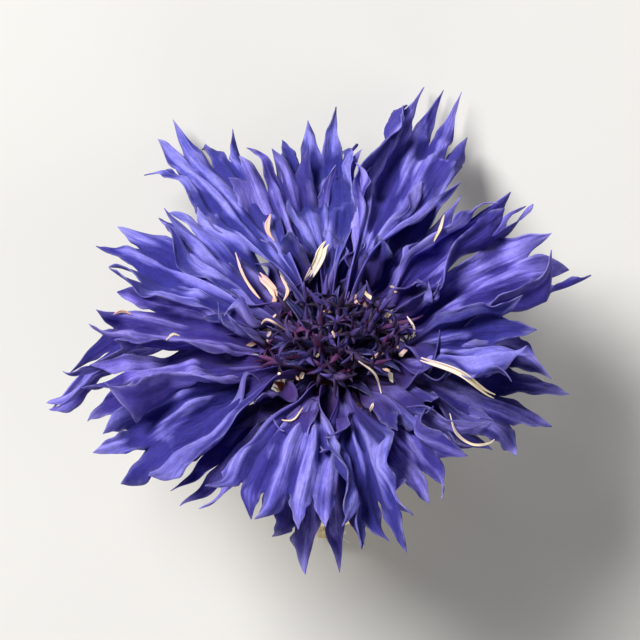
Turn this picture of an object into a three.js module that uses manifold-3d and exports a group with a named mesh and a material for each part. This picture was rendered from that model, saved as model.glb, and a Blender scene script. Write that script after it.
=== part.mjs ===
// A dried cornflower head with a short cut stem, resting on its stem and two low florets.
// Millimetres, +Z up. The head is built upright on its own axis and then leant over,
// and the finished head is set down with the middle of its underside at the origin.
import * as THREE from "three";
import { mergeVertices } from "three/addons/utils/BufferGeometryUtils.js";
import Module from "manifold-3d";

const wasm = await Module();
wasm.setup();

// How the head lies: it leans towards +Y, with the foot of its barrel held up by the bent stem.
const LEAN_DEG = 41;
const FOOT_LIFT = 2.3;

// Clearance between neighbouring pieces
const GAP = 0.3;

// Involucre, the scaly barrel under the bloom
const BARREL_HEIGHT = 10.2;
const BARREL_RADIUS = 4.1;
const BELLY = 0.42; // where along its height the barrel is widest
const LOWER_HALF = 0.47; // how steeply it closes towards the stem
const UPPER_HALF = 0.86; // how steeply it closes towards the mouth
const BARREL_STATIONS = 8;
const BARREL_SIDES = 18;
const BRACT_ROWS = [
  { count: 7, tip: 3.4, length: 3.2, width: 3.0, stand: 0.55 },
  { count: 8, tip: 5.5, length: 3.6, width: 3.3, stand: 0.65 },
  { count: 9, tip: 7.5, length: 3.8, width: 3.1, stand: 0.7 },
  { count: 9, tip: 9.4, length: 3.8, width: 2.9, stand: 0.8 },
  { count: 9, tip: 11.4, length: 4.0, width: 2.5, stand: 1.3 },
];
const BRACT_SUNK = 0.5;
const BLADE = 0.6; // thickness of every blade

// Inner bracts, the coloured crown at the mouth
const CROWN_BASE = BARREL_HEIGHT + GAP;
const CROWN_DISC = 0.7;
const CROWN_RADIUS = 3.0;
const CROWN_TIP = 14.2;
const CROWN_COUNT = 10;
const CROWN_WIDTH = 2.0;
const CROWN_FLARE = 0.75;
const CROWN_RAGGED = 0.8; // how much the tips differ in height
const CROWN_TAPER = 0.25; // how much narrower a blade is at its tip

// Ray florets: a tube that opens into a fan of pointed lobes
const CORE_BASE = CROWN_BASE + CROWN_DISC + GAP;
const CORE_RADIUS = 2.25;
const CORE_SHOULDER = 14.5;
const CORE_SHOULDER_RADIUS = 2.55;
const CORE_TOP = 15.0;
const CORE_TOP_RADIUS = 1.6;
const CORE_SIDES = 12;
const TUBE_RADIUS = 0.46;
const TUBE_STEPS = 3;
const TUBE_CORNERS = 4;
// Shares of a floret's length
const TUBE_END = 0.34;
const TURN_START = 0.06; // where it turns away from its root's rise
const TURN_SPAN = 0.3;
const DROOP_START = 0.4;
const FAN_START = 0.26;
const FAN_FULL = 0.62;
const SINUS = 0.72;
const SINUS_ARCH = 0.06; // the middle lobes part further out than the side ones
const TIP_ARCH = 0.19; // and reach further
const FAN_NECK = 1.3;
const FAN_SPLAY = 0.38;
const NECK_CUP = 0.9; // radians that the fan's neck is rolled
const LONG_FLORET = 15; // from this length on, or with many lobes, a fan has more rows of points
const MANY_LOBES = 5;
const LONG_ROWS = [0, 0.34, 0.67, 1];
const SHORT_ROWS = [0, 0.55, 1];
const LOBE_MIDDLE = 0.46;
const LOBE_MIDDLE_SHARE = 0.8;
// Each lobe's length, curl in mm and extra cut, as a middle value and how far it varies
const LOBE_LENGTH = [0.86, 0.14];
const LOBE_CURL = [0.1, 0.7];
const LOBE_CUT = [-0.01, 0.06];
const ROOT_RINGS = [
  { rootRadius: 2.0, rootHeight: 12.6, rise: 74 },
  { rootRadius: 1.75, rootHeight: 13.15, rise: 72 },
  { rootRadius: 1.5, rootHeight: 13.7, rise: 66 },
];
// Each floret's tip: its direction and distance from the bloom's middle, as seen from above,
// and its height over the surface. Then the fan's width, and how it cups, twists, droops and sways.
const BLOOM_MIDDLE = 18;
const OUTER_FLORETS = [
  { toward: 15, reach: 18.4, tip: 13, fan: 6.8, lobes: 4, cup: 35, twist: 4, droop: 10, sway: 0 },
  { toward: 34, reach: 17.1, tip: 10, fan: 6.4, lobes: 5, cup: 150, twist: -20, droop: 0, sway: 0 },
  { toward: 49, reach: 14.2, tip: 6, fan: 4.6, lobes: 4, cup: 80, twist: 15, droop: 10, sway: 0 },
  { toward: 65, reach: 19.1, tip: -1.33, fan: 6.8, lobes: 5, cup: 90, twist: 18, droop: 12, sway: 0 },
  { toward: 79, reach: 14, tip: 6.5, fan: 4.4, lobes: 4, cup: 140, twist: -30, droop: -25, sway: -0.1 },
  { toward: 93, reach: 16, tip: 2.2, fan: 5.4, lobes: 4, cup: 70, twist: -6, droop: 8, sway: 0 },
  { toward: 110, reach: 15.3, tip: 5.5, fan: 5, lobes: 5, cup: 100, twist: 12, droop: 0, sway: 0 },
  { toward: 128, reach: 18.9, tip: -0.35, fan: 5.4, lobes: 5, cup: 60, twist: -10, droop: 10, sway: 0 },
  { toward: 143, reach: 15.3, tip: 9, fan: 4.4, lobes: 4, cup: 80, twist: 20, droop: 5, sway: 0 },
  { toward: 158, reach: 17.3, tip: 10.2, fan: 6.6, lobes: 5, cup: 70, twist: 5, droop: 12, sway: 0 },
  { toward: 177, reach: 17.3, tip: 17, fan: 5.6, lobes: 4, cup: 120, twist: -15, droop: 5, sway: 0 },
  { toward: 200, reach: 20.5, tip: 11.5, fan: 5, lobes: 5, cup: 110, twist: 35, droop: 45, sway: 0.35 },
  { toward: 193, reach: 17.9, tip: 19.5, fan: 6.8, lobes: 4, cup: 60, twist: 10, droop: 15, sway: 0 },
  { toward: 211, reach: 18.4, tip: 22, fan: 6, lobes: 4, cup: 80, twist: -12, droop: 10, sway: 0 },
  { toward: 231, reach: 15, tip: 20.5, fan: 5.2, lobes: 5, cup: 90, twist: 10, droop: 20, sway: 0 },
  { toward: 251, reach: 14, tip: 24.5, fan: 7, lobes: 5, cup: 30, twist: 8, droop: 35, sway: 0 },
  { toward: 267, reach: 15.6, tip: 18.5, fan: 5.8, lobes: 4, cup: 50, twist: -8, droop: 35, sway: 0 },
  { toward: 283, reach: 14.8, tip: 26, fan: 5.6, lobes: 5, cup: 100, twist: -25, droop: 10, sway: 0 },
  { toward: 304, reach: 13.5, tip: 21.5, fan: 5.4, lobes: 4, cup: 80, twist: 10, droop: 25, sway: 0 },
  { toward: 324, reach: 13.5, tip: 17.5, fan: 5.6, lobes: 5, cup: 60, twist: -10, droop: 25, sway: 0 },
  { toward: 341, reach: 16.6, tip: 15.5, fan: 7.2, lobes: 4, cup: 40, twist: 10, droop: 25, sway: 0 },
  { toward: 356, reach: 14.6, tip: 18.5, fan: 6.8, lobes: 5, cup: 50, twist: -6, droop: 15, sway: 0 },
];
const INNER_FLORETS = [
  { toward: 25, reach: 9, tip: 14.5, fan: 3.8, lobes: 4, cup: 120, twist: 20, droop: 0, sway: 0 },
  { toward: 62, reach: 8.5, tip: 10.5, fan: 3.6, lobes: 3, cup: 140, twist: -15, droop: 0, sway: 0 },
  { toward: 101, reach: 8, tip: 10, fan: 4, lobes: 4, cup: 110, twist: 10, droop: 0, sway: 0 },
  { toward: 140, reach: 8.5, tip: 12, fan: 3.8, lobes: 3, cup: 120, twist: -20, droop: 0, sway: 0 },
  { toward: 172, reach: 9, tip: 16.5, fan: 3.6, lobes: 4, cup: 150, twist: 15, droop: 5, sway: 0.1 },
  { toward: 200, reach: 10, tip: 17.5, fan: 4.2, lobes: 4, cup: 70, twist: 12, droop: 10, sway: 0 },
  { toward: 225, reach: 8.4, tip: 19.5, fan: 3.8, lobes: 3, cup: 100, twist: -10, droop: 10, sway: 0 },
  { toward: 263, reach: 8.6, tip: 21.5, fan: 4.2, lobes: 4, cup: 90, twist: 15, droop: 15, sway: 0 },
  { toward: 320, reach: 8.8, tip: 20, fan: 4.4, lobes: 4, cup: 80, twist: -15, droop: 15, sway: 0 },
  { toward: 348, reach: 9, tip: 17.8, fan: 3.8, lobes: 3, cup: 120, twist: 10, droop: 5, sway: -0.1 },
];
const SEED = 7;
const REACH_ROUNDS = 12;

// Disc florets, the dark tuft at the centre
const DISC_BASE = CORE_TOP + GAP;
const DISC_CORE_RADIUS = 0.95;
const DISC_CORE_TOP = 16.5;
const DISC_CORE_SIDES = 10;
const DISC_COUNT = 24;
const DISC_LENGTH = 5.0;
const DISC_CONE_DEG = 46;
const DISC_WIDTH = 0.36;
const DISC_SIDES = 4;
const DISC_ROOT_RADIUS = 0.55;
const DISC_SUNK = 0.5;
const DISC_PROFILE = [[0.8, 0], [0.7, 0.5], [1, 0.68], [0.9, 0.86]]; // shares of width and length

// Stem stub, bent to lie along the surface
const STEM_RADIUS = 0.95;
const STEM_LYING = 1.4;
const STEM_SIDES = 8;
const STEM_STEPS = 8;

const LEAN = THREE.MathUtils.degToRad(LEAN_DEG);

const UP = new THREE.Vector3(0, 0, 1);

const RANDOM_FACTOR = 1664525;
const RANDOM_STEP = 1013904223;
const RANDOM_RANGE = 2 ** 32;

// Repeatable random numbers from 0 to 1
function randomFrom(seed) {
  let state = seed;
  return () => {
    state = (state * RANDOM_FACTOR + RANDOM_STEP) % RANDOM_RANGE;
    return state / RANDOM_RANGE;
  };
}

const smooth = (x) => {
  const t = Math.min(1, Math.max(0, x));
  return t * t * (3 - 2 * t);
};
const mix = THREE.MathUtils.lerp;
const radians = THREE.MathUtils.degToRad;

const SAME_POINT = 1e-4;

// A closed three.js geometry as a solid, and back
function solidOf(geometry) {
  const bare = geometry.clone();
  bare.deleteAttribute("normal");
  bare.deleteAttribute("uv");
  const merged = mergeVertices(bare, SAME_POINT);
  return new wasm.Manifold(
    new wasm.Mesh({
      numProp: 3,
      vertProperties: new Float32Array(merged.attributes.position.array),
      triVerts: new Uint32Array(merged.index.array),
    }),
  );
}

function geometryOf(solid) {
  const mesh = solid.getMesh();
  const geometry = new THREE.BufferGeometry();
  geometry.setAttribute("position", new THREE.BufferAttribute(mesh.vertProperties, 3));
  geometry.setIndex(new THREE.BufferAttribute(mesh.triVerts, 1));
  geometry.computeVertexNormals();
  return geometry;
}

// Joins solids into one body: loose scraps go, and sealed hollows are filled.
function fuse(solids) {
  const joined = wasm.Manifold.union(solids);
  const shells = joined.decompose().filter((shell) => shell.volume() > 0);
  shells.sort((a, b) => b.volume() - a.volume());
  return shells[0];
}

// A blade of even thickness: points with normals, triangles for one face, and walls round its edge
function bladeSolid(points, triangles) {
  const count = points.length;
  const positions = [];
  for (const side of [0.5, -0.5])
    for (const { at, normal } of points)
      positions.push(...at.clone().addScaledVector(normal, side * BLADE));
  const directed = new Set();
  const index = [];
  for (const [a, b, c] of triangles) {
    index.push(a, b, c, a + count, c + count, b + count);
    for (const [from, to] of [[a, b], [b, c], [c, a]])
      directed.add(from * count + to);
  }
  for (const key of directed) {
    const from = Math.floor(key / count);
    const to = key % count;
    if (!directed.has(to * count + from))
      index.push(from, from + count, to, to, from + count, to + count);
  }
  const geometry = new THREE.BufferGeometry();
  geometry.setAttribute("position", new THREE.Float32BufferAttribute(positions, 3));
  geometry.setIndex(index);
  return solidOf(geometry);
}

// A round body about the axis, from a profile of [radius, height] that starts and ends on the axis
function lathe(profile, sides) {
  const turned = new THREE.LatheGeometry(profile.map(([r, z]) => new THREE.Vector2(r, z)), sides);
  turned.rotateX(Math.PI / 2);
  return solidOf(turned);
}

// Involucre

function barrelRadius(z) {
  const t = z / BARREL_HEIGHT - BELLY;
  const half = t < 0 ? LOWER_HALF : UPPER_HALF;
  return BARREL_RADIUS * Math.sqrt(Math.max(0, 1 - (t / half) ** 2));
}

// One bract's outline on its right side, as [half-width share, length share], with one tooth
const BRACT_EDGE = [[0.9, 0], [1, 0.6], [0.56, 0.72]];
const BRACT_SPINE = [0, 0.55];

function bractPoints(place) {
  const points = BRACT_SPINE.map((l) => place(0, l));
  for (const side of [-1, 1])
    for (const [w, l] of BRACT_EDGE)
      points.push(place(side * w, l));
  points.push(place(0, 1));
  return points;
}

function bractTriangles() {
  const tip = BRACT_SPINE.length + 2 * BRACT_EDGE.length;
  const triangles = [];
  for (const [first, turned] of [[2, true], [2 + BRACT_EDGE.length, false]]) {
    const [base, tooth, notch] = [first, first + 1, first + 2];
    const half = [[0, base, tooth], [0, tooth, 1], [1, tooth, notch], [1, notch, tip]];
    for (const [a, b, c] of half)
      triangles.push(turned ? [a, c, b] : [a, b, c]);
  }
  return triangles;
}

function involucreBracts() {
  const bracts = [];
  BRACT_ROWS.forEach((row, k) => {
    for (let i = 0; i < row.count; i++) {
      const azimuth = ((i + (k % 2) / 2) / row.count) * 2 * Math.PI;
      const place = (w, l) => {
        const z = row.tip - row.length * (1 - l);
        const wall = barrelRadius(Math.min(z, BARREL_HEIGHT));
        const out = mix(-BRACT_SUNK, row.stand, smooth(l)) - BLADE / 2;
        const r = wall + out;
        const angle = azimuth + (w * row.width) / 2 / (wall + BLADE);
        const normal = new THREE.Vector3(Math.cos(angle), Math.sin(angle), 0);
        return { at: normal.clone().multiplyScalar(r).addScaledVector(UP, z), normal };
      };
      bracts.push(bladeSolid(bractPoints(place), bractTriangles()));
    }
  });
  return bracts;
}

function involucre() {
  const profile = [[0, 0]];
  for (let i = 0; i <= BARREL_STATIONS; i++) {
    const z = (BARREL_HEIGHT * i) / BARREL_STATIONS;
    profile.push([barrelRadius(z), z]);
  }
  profile.push([0, BARREL_HEIGHT]);
  return fuse([lathe(profile, BARREL_SIDES), ...involucreBracts()]);
}

// Inner bracts: a thin disc with a crown of ragged blades on its rim

function innerBracts() {
  const profile = [
    [0, CROWN_BASE], [CROWN_RADIUS, CROWN_BASE],
    [CROWN_RADIUS, CROWN_BASE + CROWN_DISC], [0, CROWN_BASE + CROWN_DISC],
  ];
  const random = randomFrom(SEED + 2);
  const blades = [];
  for (let i = 0; i < CROWN_COUNT; i++) {
    const azimuth = (i / CROWN_COUNT) * 2 * Math.PI;
    const tip = CROWN_TIP - CROWN_RAGGED * random();
    const flare = CROWN_FLARE * (0.6 + 0.8 * random());
    const place = (w, l) => {
      const z = mix(CROWN_BASE, tip, l);
      const r = CROWN_RADIUS - BLADE / 4 + flare * l ** 2;
      const angle = azimuth + (w * CROWN_WIDTH * (1 - CROWN_TAPER * l)) / 2 / r;
      const normal = new THREE.Vector3(Math.cos(angle), Math.sin(angle), 0);
      return { at: normal.clone().multiplyScalar(r).addScaledVector(UP, z), normal };
    };
    blades.push(bladeSolid(bractPoints(place), bractTriangles()));
  }
  return fuse([lathe(profile, BARREL_SIDES), ...blades]);
}

// Ray florets

const SPINE_STEPS = 60;

// The floret's middle line in the plane of its azimuth: radius, height and slope at each step
function spineOf(floret) {
  const spine = [];
  let r = floret.rootRadius;
  let z = floret.rootHeight;
  for (let i = 0; i <= SPINE_STEPS; i++) {
    const s = i / SPINE_STEPS;
    const turned = smooth((s - TURN_START) / TURN_SPAN);
    const tail = Math.max(0, (s - DROOP_START) / (1 - DROOP_START));
    const slope = radians(mix(floret.rise, floret.spread, turned) - floret.droop * tail ** 2);
    spine.push({ r, z, slope });
    r += (Math.cos(slope) * floret.length) / SPINE_STEPS;
    z += (Math.sin(slope) * floret.length) / SPINE_STEPS;
  }
  return spine;
}

// The floret's frame at share s of its length: a point, and the directions across it and out of its face
function spineFrame(floret, s) {
  const x = Math.min(s, 1) * SPINE_STEPS;
  const i = Math.min(SPINE_STEPS - 1, Math.floor(x));
  const [a, b] = [floret.spine[i], floret.spine[i + 1]];
  const [r, z, slope] = ["r", "z", "slope"].map((key) => mix(a[key], b[key], x - i));
  const azimuth = floret.azimuth + floret.sway * s * s;
  const out = new THREE.Vector3(Math.cos(azimuth), Math.sin(azimuth), 0);
  const across = new THREE.Vector3(-Math.sin(azimuth), Math.cos(azimuth), 0);
  const face = UP.clone().multiplyScalar(Math.cos(slope)).addScaledVector(out, -Math.sin(slope));
  const along = out.clone().multiplyScalar(Math.cos(slope)).addScaledVector(UP, Math.sin(slope));
  const twist = floret.twist * smooth((s - FAN_START) / (1 - FAN_START));
  across.applyAxisAngle(along, twist);
  face.applyAxisAngle(along, twist);
  return { at: out.clone().multiplyScalar(r).addScaledVector(UP, z), across, face };
}

// Width of the fan, measured round its cup
function fanWidth(floret, s) {
  const opened = smooth((s - FAN_START) / (FAN_FULL - FAN_START));
  const beyond = Math.max(0, (s - FAN_FULL) / (1 - FAN_FULL));
  return mix(FAN_NECK, floret.fan, opened) * (1 + FAN_SPLAY * beyond);
}

// A point of the cupped fan, at distance a from its middle line
function fanPoint(floret, s, a, lift = 0) {
  const { at, across, face } = spineFrame(floret, s);
  const cup = mix(NECK_CUP, floret.cup, smooth((s - FAN_START) / (FAN_FULL - FAN_START)));
  const bend = cup / fanWidth(floret, s);
  const angle = a * bend;
  const normal = face.clone().multiplyScalar(Math.cos(angle)).addScaledVector(across, -Math.sin(angle));
  at.addScaledVector(across, Math.sin(angle) / bend);
  at.addScaledVector(face, (1 - Math.cos(angle)) / bend);
  at.addScaledVector(normal, lift);
  return { at, normal };
}

// Where the lobes part, at a share from -1 to 1 across the fan
const partingAt = (share, cut) => SINUS + SINUS_ARCH * (1 - share * share) + cut;

function fanSolid(floret) {
  const lobes = floret.lobes.length;
  const rows = lobes >= MANY_LOBES || floret.length > LONG_FLORET ? LONG_ROWS : SHORT_ROWS;
  const partings = Array.from({ length: lobes + 1 }, (_, j) =>
    partingAt((2 * j) / lobes - 1, j % lobes ? floret.lobes[j].cut : 0),
  );
  const points = [];
  const triangles = [];
  rows.forEach((row) => {
    partings.forEach((parting, j) => {
      const s = mix(FAN_START, parting, row);
      points.push(fanPoint(floret, s, (((2 * j) / lobes - 1) * fanWidth(floret, s)) / 2));
    });
  });
  for (let k = 0; k + 1 < rows.length; k++)
    for (let j = 0; j < lobes; j++) {
      const a = k * (lobes + 1) + j;
      const b = a + lobes + 1;
      triangles.push([a, b, b + 1], [a, b + 1, a + 1]);
    }
  const last = (rows.length - 1) * (lobes + 1);
  floret.lobes.forEach((lobe, j) => {
    const centre = (2 * j + 1) / lobes - 1;
    const parting = (partings[j] + partings[j + 1]) / 2;
    const half = fanWidth(floret, parting) / lobes / 2;
    const tipAt = mix(parting, 1 - TIP_ARCH * centre * centre, lobe.length);
    const middleAt = mix(parting, tipAt, LOBE_MIDDLE);
    const first = points.length;
    for (const side of [-1, 1]) {
      const a = (centre * fanWidth(floret, middleAt)) / 2 + side * half * LOBE_MIDDLE_SHARE;
      points.push(fanPoint(floret, middleAt, a, lobe.curl * LOBE_MIDDLE ** 2));
    }
    points.push(fanPoint(floret, tipAt, (centre * fanWidth(floret, tipAt)) / 2, lobe.curl));
    const [left, right] = [last + j, last + j + 1];
    triangles.push([left, first, first + 1], [left, first + 1, right], [first, first + 2, first + 1]);
  });
  return bladeSolid(points, triangles);
}

function tubeSolid(floret) {
  const positions = [];
  const index = [];
  for (let k = 0; k <= TUBE_STEPS; k++) {
    const { at, across, face } = spineFrame(floret, (TUBE_END * k) / TUBE_STEPS);
    for (let c = 0; c < TUBE_CORNERS; c++) {
      const angle = (c / TUBE_CORNERS) * 2 * Math.PI;
      const corner = at.clone().addScaledVector(across, TUBE_RADIUS * Math.cos(angle));
      positions.push(...corner.addScaledVector(face, TUBE_RADIUS * Math.sin(angle)));
    }
  }
  for (let k = 0; k < TUBE_STEPS; k++)
    for (let c = 0; c < TUBE_CORNERS; c++) {
      const a = k * TUBE_CORNERS + c;
      const b = k * TUBE_CORNERS + ((c + 1) % TUBE_CORNERS);
      index.push(a, b, a + TUBE_CORNERS, b, b + TUBE_CORNERS, a + TUBE_CORNERS);
    }
  const end = TUBE_STEPS * TUBE_CORNERS;
  index.push(0, 2, 1, 0, 3, 2, end, end + 1, end + 2, end, end + 2, end + 3);
  const geometry = new THREE.BufferGeometry();
  geometry.setAttribute("position", new THREE.Float32BufferAttribute(positions, 3));
  geometry.setIndex(index);
  return solidOf(geometry);
}

// Bends and lengthens a floret until its middle line ends at the wanted radius and height
function reachFor(floret, radius, height) {
  const want = new THREE.Vector2(radius - floret.rootRadius, height - floret.rootHeight);
  for (let i = 0; i < REACH_ROUNDS; i++) {
    const end = spineOf(floret)[SPINE_STEPS];
    const have = new THREE.Vector2(end.r - floret.rootRadius, end.z - floret.rootHeight);
    const turn = Math.atan2(want.y, want.x) - Math.atan2(have.y, have.x);
    floret.spread += THREE.MathUtils.radToDeg(turn);
    floret.length *= want.length() / have.length();
  }
}

function rayFlorets() {
  const random = randomFrom(SEED);
  const about = ([middle, range]) => middle + range * (2 * random() - 1);
  const lobesOf = (count) =>
    Array.from({ length: count }, () => ({
      length: about(LOBE_LENGTH),
      curl: about(LOBE_CURL),
      cut: about(LOBE_CUT),
    }));
  const grow = (row, ring) => {
    const tip = new THREE.Vector3(
      row.reach * Math.cos(radians(row.toward)),
      row.reach * Math.sin(radians(row.toward)) + BLOOM_MIDDLE * Math.sin(LEAN),
      row.tip - FOOT_LIFT,
    );
    tip.applyAxisAngle(new THREE.Vector3(1, 0, 0), LEAN);
    const floret = {
      ...ring,
      azimuth: Math.atan2(tip.y, tip.x) - row.sway,
      length: 20,
      spread: 10,
      droop: row.droop,
      fan: row.fan,
      cup: radians(row.cup),
      twist: radians(row.twist),
      sway: row.sway,
      lobes: lobesOf(row.lobes),
    };
    reachFor(floret, Math.hypot(tip.x, tip.y), tip.z);
    floret.spine = spineOf(floret);
    return floret;
  };
  return [
    ...OUTER_FLORETS.map((row, i) => grow(row, ROOT_RINGS[i % 2])),
    ...INNER_FLORETS.map((row) => grow(row, ROOT_RINGS[2])),
  ];
}

function rayBloom() {
  const core = lathe(
    [
      [0, CORE_BASE], [CORE_RADIUS, CORE_BASE], [CORE_SHOULDER_RADIUS, CORE_SHOULDER],
      [CORE_TOP_RADIUS, CORE_TOP], [0, CORE_TOP],
    ],
    CORE_SIDES,
  );
  const solids = rayFlorets().flatMap((floret) => [tubeSolid(floret), fanSolid(floret)]);
  return fuse([core, ...solids]);
}

// Disc florets: slim four-sided tubes that widen to a dark anther and close to a point

function discBloom() {
  const random = randomFrom(SEED + 1);
  const core = lathe(
    [[0, DISC_BASE], [DISC_CORE_RADIUS, DISC_BASE], [DISC_CORE_RADIUS, DISC_CORE_TOP], [0, DISC_CORE_TOP]],
    DISC_CORE_SIDES,
  );
  const solids = [core];
  const golden = Math.PI * (3 - Math.sqrt(5));
  for (let i = 0; i < DISC_COUNT; i++) {
    const share = Math.sqrt((i + 0.3) / DISC_COUNT);
    const lean = radians(DISC_CONE_DEG) * share;
    const length = DISC_LENGTH * (0.85 + 0.3 * random());
    const wall = DISC_PROFILE.map(([w, l]) => new THREE.Vector2(w * DISC_WIDTH, l * length));
    const profile = [new THREE.Vector2(0, 0), ...wall, new THREE.Vector2(0, length)];
    const turned = new THREE.LatheGeometry(profile, DISC_SIDES);
    turned.rotateX(Math.PI / 2);
    turned.rotateY(lean);
    turned.rotateZ(i * golden);
    const root = DISC_ROOT_RADIUS * share;
    turned.translate(
      root * Math.cos(i * golden), root * Math.sin(i * golden), DISC_CORE_TOP - DISC_SUNK,
    );
    solids.push(solidOf(turned));
  }
  return fuse(solids);
}

// Stem stub: leaves the barrel along its axis and bends until it lies on the surface

function stemSolid() {
  const down = new THREE.Vector3(0, -Math.sin(LEAN), -Math.cos(LEAN));
  const foot = new THREE.Vector3(0, 0, FOOT_LIFT);
  const top = foot.clone().addScaledVector(down, GAP);
  const bend = foot.clone().addScaledVector(down, (FOOT_LIFT - STEM_RADIUS) / Math.cos(LEAN));
  const end = bend.clone().add(new THREE.Vector3(0, -STEM_LYING, 0));
  const path = new THREE.QuadraticBezierCurve3(top, bend, end);
  const corners = Array.from({ length: STEM_SIDES }, (_, i) => {
    const angle = (i / STEM_SIDES) * 2 * Math.PI;
    return new THREE.Vector2(STEM_RADIUS * Math.cos(angle), STEM_RADIUS * Math.sin(angle));
  });
  return solidOf(
    new THREE.ExtrudeGeometry(new THREE.Shape(corners), {
      steps: STEM_STEPS,
      extrudePath: path,
      bevelEnabled: false,
    }),
  );
}

function piece(name, solid, color, roughness) {
  const material = new THREE.MeshStandardMaterial({ color, roughness, metalness: 0 });
  const mesh = new THREE.Mesh(geometryOf(solid), material);
  mesh.name = name;
  return mesh;
}

const head = new THREE.Group();
head.add(
  piece("involucre", involucre(), "#ecd8a2", 0.85),
  piece("inner_bracts", innerBracts(), "#d98a62", 0.8),
  piece("ray_florets", rayBloom(), "#5d56c9", 0.75),
  piece("disc_florets", discBloom(), "#2b1644", 0.7),
);
head.rotation.x = -LEAN;
head.position.z = FOOT_LIFT;

const cornflower = new THREE.Group();
cornflower.add(head, piece("stem", stemSolid(), "#dcc58c", 0.9));
cornflower.updateMatrixWorld(true);
const box = new THREE.Box3().setFromObject(cornflower, true);
cornflower.position.set(-(box.min.x + box.max.x) / 2, -(box.min.y + box.max.y) / 2, -box.min.z);

export default cornflower;
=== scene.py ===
import math
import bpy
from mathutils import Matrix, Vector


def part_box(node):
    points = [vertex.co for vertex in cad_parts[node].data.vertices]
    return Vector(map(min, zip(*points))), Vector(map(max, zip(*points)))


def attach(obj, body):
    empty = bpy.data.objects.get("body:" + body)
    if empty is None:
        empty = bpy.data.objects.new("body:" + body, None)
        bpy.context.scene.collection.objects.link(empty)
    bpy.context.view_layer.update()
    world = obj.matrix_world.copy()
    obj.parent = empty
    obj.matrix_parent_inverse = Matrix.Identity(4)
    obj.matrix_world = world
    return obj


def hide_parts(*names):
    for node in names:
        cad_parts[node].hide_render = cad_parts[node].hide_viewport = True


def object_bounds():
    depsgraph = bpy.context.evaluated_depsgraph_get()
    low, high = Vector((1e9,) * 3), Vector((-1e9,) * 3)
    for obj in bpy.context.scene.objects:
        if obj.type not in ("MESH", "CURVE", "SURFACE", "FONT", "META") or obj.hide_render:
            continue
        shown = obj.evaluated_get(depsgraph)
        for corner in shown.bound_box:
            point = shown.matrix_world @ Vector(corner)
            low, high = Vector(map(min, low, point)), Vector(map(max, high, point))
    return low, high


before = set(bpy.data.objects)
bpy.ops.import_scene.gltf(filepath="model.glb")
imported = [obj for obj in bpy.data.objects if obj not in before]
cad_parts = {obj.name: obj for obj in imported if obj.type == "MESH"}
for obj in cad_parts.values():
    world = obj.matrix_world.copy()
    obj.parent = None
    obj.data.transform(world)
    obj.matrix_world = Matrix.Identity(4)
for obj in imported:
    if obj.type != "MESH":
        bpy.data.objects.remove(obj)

from types import SimpleNamespace

import bpy
import numpy as np
from mathutils import Vector
from mathutils.bvhtree import BVHTree

CAD_LOW, CAD_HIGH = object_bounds()
MM = 0.001
CIRCLE = 2 * math.pi
FLOOR_CLEAR = 0.03  # how far every point stays above the floor, in mm

# How the head lies, and its sizes in millimetres, as in the solids
LEAN = math.radians(41)
LEAN_COS, LEAN_SIN = math.cos(LEAN), math.sin(LEAN)
FOOT_LIFT = 2.3
GAP = 0.3

BARREL_HEIGHT = 10.2
BARREL_RADIUS = 4.1
BELLY = 0.42
LOWER_HALF = 0.47
UPPER_HALF = 0.86
BRACT_ROWS = [
    # count, tip height, length, width, how far the tip stands off
    (7, 3.4, 3.2, 3.0, 0.55),
    (8, 5.5, 3.6, 3.3, 0.65),
    (9, 7.5, 3.8, 3.1, 0.7),
    (9, 9.4, 3.8, 2.9, 0.8),
    (9, 11.4, 4.0, 2.5, 1.3),
]
BRACT_SUNK = 0.5
BLADE = 0.6

CROWN_BASE = BARREL_HEIGHT + GAP
CROWN_DISC = 0.7
CROWN_RADIUS = 3.0
CROWN_TIP = 14.2
CROWN_COUNT = 10
CROWN_WIDTH = 2.0
CROWN_FLARE = 0.75
CROWN_RAGGED = 0.8
CROWN_TAPER = 0.25

# Shares of a floret's length
TURN_START = 0.06
TURN_SPAN = 0.3
DROOP_START = 0.4
FAN_START = 0.26
FAN_FULL = 0.62
SINUS = 0.72
SINUS_ARCH = 0.06
TIP_ARCH = 0.19
# The fan's narrowest width in mm, how far it is rolled there, and how much it widens towards its tip
FAN_NECK = 1.3
NECK_CUP = 0.9
FAN_SPLAY = 0.38
# Each lobe's length, curl in mm and extra cut, as a middle value and how far it varies
LOBE_LENGTH = (0.86, 0.14)
LOBE_CURL = (0.1, 0.7)
LOBE_CUT = (-0.01, 0.06)
# Each ring of roots: radius, height and rise in degrees
ROOT_RINGS = [(2.0, 12.6, 74), (1.75, 13.15, 72), (1.5, 13.7, 66)]
BLOOM_MIDDLE = 18
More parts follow.
